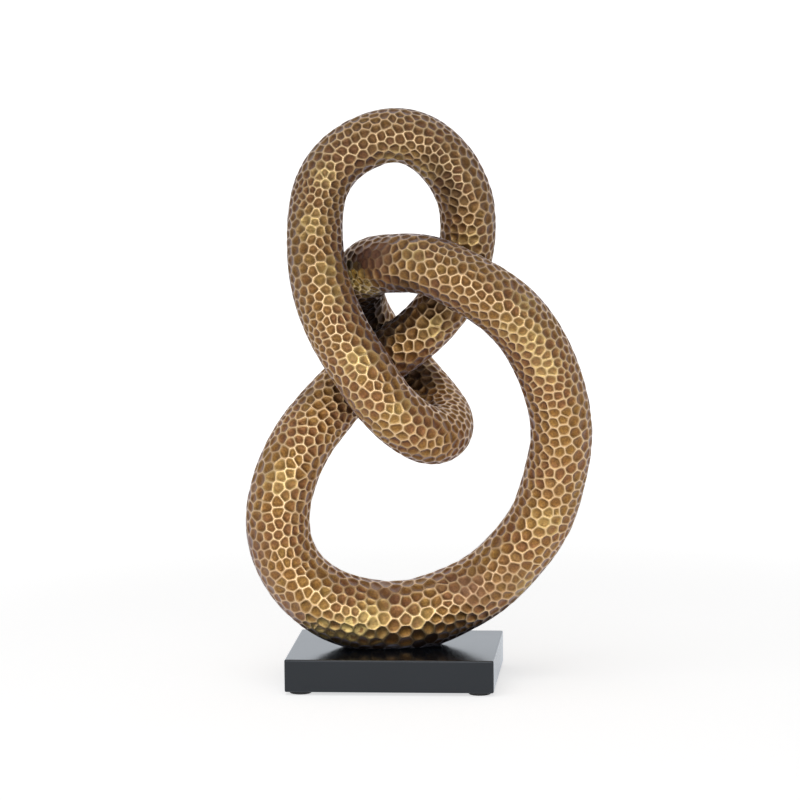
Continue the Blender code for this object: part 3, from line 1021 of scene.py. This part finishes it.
def turned_metal(name, bright, dull):
    """Machined metal: fine rings from turning, a little uneven in its shine."""
    nodes = Finish(name)
    rings = nodes.noise(0.25 * MM, 2.0, stretch=(0.05, 0.05, 1.0))
    stain_and_shade = nodes.noise(3 * MM, 2.0)
    return nodes.shade({
        "Base Color": nodes.mix(nodes.between(stain_and_shade, 0.35, 0.7), bright, dull),
        "Metallic": 1.0,
        "Roughness": nodes.between(rings, 0.3, 0.7, 0.25, 0.42),
        "Normal": nodes.bump(rings, 0.02 * MM, 0.6),
    })


def white_paper():
    """The floor: white paper that keeps the object's soft shadow."""
    nodes = Finish("white_paper")
    fibre = nodes.noise(1.5 * MM, 3.0)
    seen = nodes.add("ShaderNodeLightPath").outputs
    plain = nodes.greatest(seen["Is Camera Ray"], seen["Is Transmission Ray"])
    distance = nodes.add("ShaderNodeVectorMath", operation="LENGTH")
    nodes.join(nodes.place, distance.inputs[0])
    reach = distance.outputs["Value"]
    glow = nodes.product(plain, nodes.between(reach, NEAR_FLOOR, FAR_FLOOR, FLOOR_GLOW, 1.0))
    share = nodes.between(nodes.coordinate("Y"), *MIRROR_DEPTHS,
                          FLOOR_FRONT_MIRROR, FLOOR_REAR_MIRROR)
    level = nodes.between(reach, NEAR_FLOOR, FAR_FLOOR, NEAR_MIRROR, FAR_MIRROR)
    mirrored = nodes.product(seen["Is Glossy Ray"], nodes.product(share, level))
    return nodes.shade({
        "Base Color": nodes.mix(fibre, *PAPER),
        "Roughness": 0.9,
        "Specular IOR Level": 0.1,
        "Emission Color": WHITE,
        "Emission Strength": nodes.greatest(glow, mirrored),
    })


def studio_world():
    """A white backdrop as the camera and mirrors see it, in a dim room."""
    world = bpy.data.worlds.new("studio")
    bpy.context.scene.world = world
    world.use_nodes = True
    nodes = Nodes(world.node_tree)
    seen = nodes.add("ShaderNodeLightPath").outputs
    direction = nodes.add("ShaderNodeTexCoord").outputs["Generated"]

    def toward(axis, low, high, start, end):
        """A brightness that turns smoothly along an axis of the room."""
        along = nodes.add("ShaderNodeVectorMath", operation="DOT_PRODUCT")
        nodes.join(direction, along.inputs[0])
        nodes.join(axis, along.inputs[1])
        return nodes.between(along.outputs["Value"], low, high, start, end)

    plain = nodes.greatest(seen["Is Camera Ray"], seen["Is Transmission Ray"])
    front = toward((0.0, 1.0, 0.5), -1.0, -0.1, FRONT_MIRROR, SIDE_MIRROR)
    back = toward((0.0, 1.0, 0.0), -0.1, 0.35, 0.0, 1.0)
    mirrored = nodes.product(seen["Is Glossy Ray"], nodes.greatest(front, back))
    strength = nodes.greatest(plain, mirrored, ROOM_LIGHT)
    nodes.fill(world.node_tree.nodes["Background"], {"Color": WHITE, "Strength": strength})


def softbox(name, place, size, power, aim):
    """A rectangular lamp that faces a point."""
    lamp = bpy.data.lights.new(name, "AREA")
    lamp.shape = "RECTANGLE"
    lamp.size, lamp.size_y = size
    lamp.energy = power
    thing = bpy.data.objects.new(name, lamp)
    bpy.context.scene.collection.objects.link(thing)
    thing.location = place
    thing.rotation_mode = "QUATERNION"
    thing.rotation_quaternion = (Vector(aim) - Vector(place)).to_track_quat("-Z", "Y")


def photo_camera():
    """The camera fitted to the block's corners in the photograph."""
    azimuth, elevation = radians(CAMERA_AZIMUTH), radians(CAMERA_ELEVATION)
    back = Vector((sin(azimuth) * cos(elevation), -cos(azimuth) * cos(elevation), sin(elevation)))
    block_top = Vector((block_middle.x, block_middle.y, base_high.z))
    target = block_top + Vector(CAMERA_AIM)
    camera = bpy.data.objects.new("camera", bpy.data.cameras.new("camera"))
    bpy.context.scene.collection.objects.link(camera)
    camera.data.sensor_width = SENSOR_WIDTH
    camera.data.lens = FOCAL_PIXELS / PHOTO_WIDTH * SENSOR_WIDTH
    camera.data.clip_start, camera.data.clip_end = CAMERA_RANGE
    roll = Matrix.Rotation(radians(CAMERA_ROLL), 3, "Z")
    turn = (-back).to_track_quat("-Z", "Y").to_matrix() @ roll
    camera.matrix_world = Matrix.Translation(target + back * CAMERA_DISTANCE) @ turn.to_4x4()
    bpy.context.scene.camera = camera


def paper_floor():
    """A sheet of white paper under everything, wider than any view of the object."""
    corners = [(-FLOOR_REACH, -FLOOR_REACH, 0), (FLOOR_REACH, -FLOOR_REACH, 0),
               (FLOOR_REACH, FLOOR_REACH, 0), (-FLOOR_REACH, FLOOR_REACH, 0)]
    mesh = bpy.data.meshes.new("floor")
    mesh.from_pydata(corners, [], [(0, 1, 2, 3)])
    mesh.materials.append(white_paper())
    sheet = bpy.data.objects.new("floor", mesh)
    bpy.context.scene.collection.objects.link(sheet)
    return sheet


bpy.context.scene.view_settings.view_transform = "Standard"
photo_camera()
studio_world()

tube = Tube(closed_spline(route_points(), SAMPLES_PER_SPAN), RING_COUNT)
skin = skin_object(tube, gilded_resin())
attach(skin, "root")
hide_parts("knot")

zinc_steel = turned_metal("zinc_steel", *ZINC)
finishes = {
    "base_block": black_lacquer(),
    "foot": foot_rubber(),
    "screw": zinc_steel,
    "washer": zinc_steel,
    "insert": turned_metal("insert_brass", *BRASS),
}
for name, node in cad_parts.items():
    for start, finish in finishes.items():
        if name.startswith(start):
            node.data.materials.clear()
            node.data.materials.append(finish)

floor = paper_floor()

lamp_aim = (block_middle.x, block_middle.y, LAMP_AIM_HEIGHT)
for name, (place, size, power) in LAMPS.items():
    softbox(name, place, size, power, lamp_aim)
